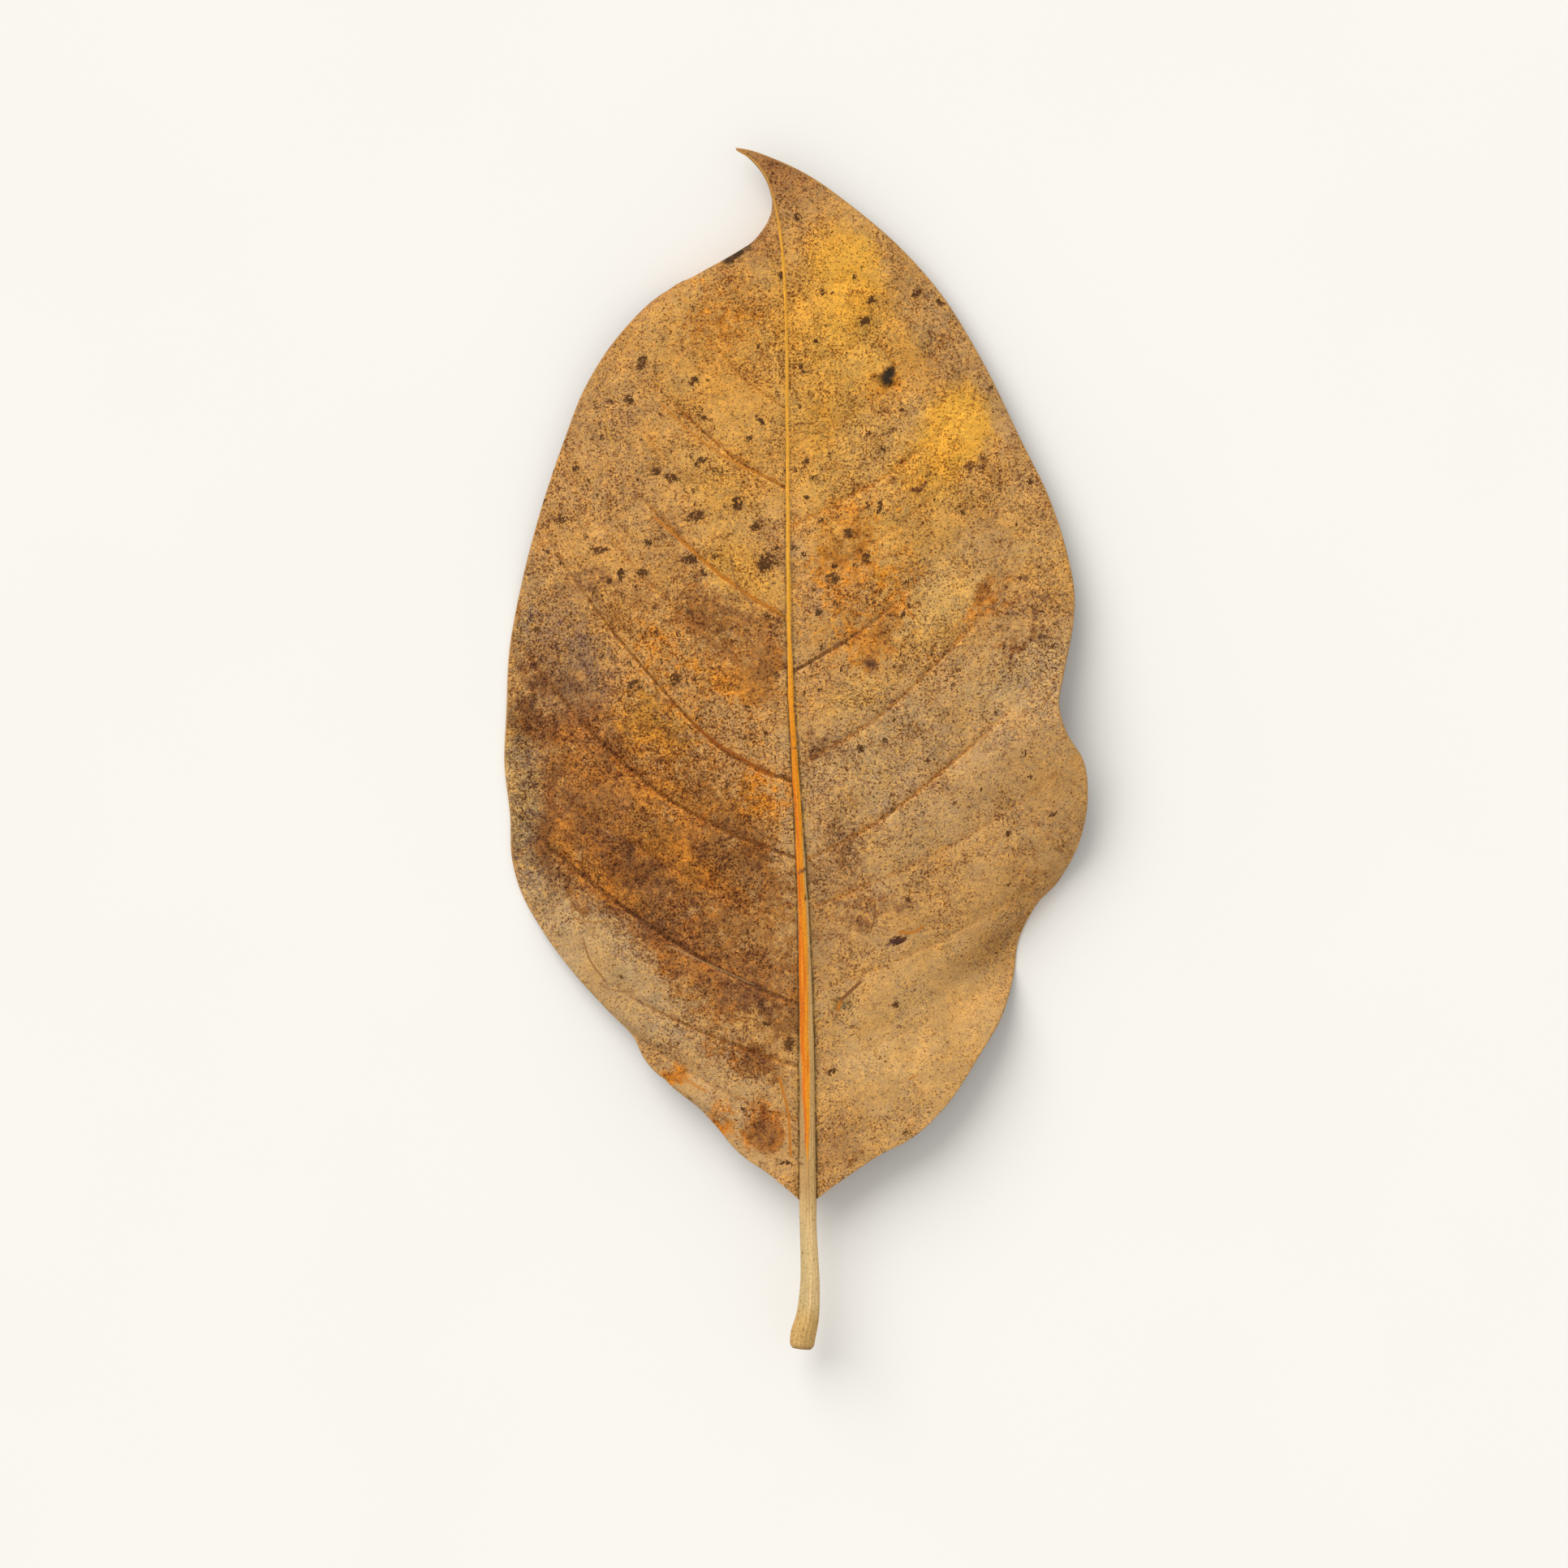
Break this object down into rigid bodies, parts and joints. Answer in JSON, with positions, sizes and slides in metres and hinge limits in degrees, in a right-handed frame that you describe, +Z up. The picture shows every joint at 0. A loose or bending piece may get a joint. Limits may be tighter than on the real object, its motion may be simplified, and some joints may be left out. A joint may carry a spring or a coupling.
{
  "type": "dried magnolia leaf",
  "caption": "Dried magnolia leaf lying on its underside: a leathery oval blade with a hooked tip, a waved margin, impressed side veins, a raised midrib and a short stalk.",
  "frame": {"origin": "centre of the leaf's box, at the height of the table that it lies on", "axes": "+Y from the cut end of the petiole to the tip, +Z up from the leaf's upper face, +X to the right as seen from above"},
  "size_m": [0.0894, 0.184, 0.0094],
  "materials": {
    "dried_leaf": "matte"
  },
  "bodies": {
    "root": {"magnolia_leaf": "dried_leaf"}
  },
  "joints": []
}
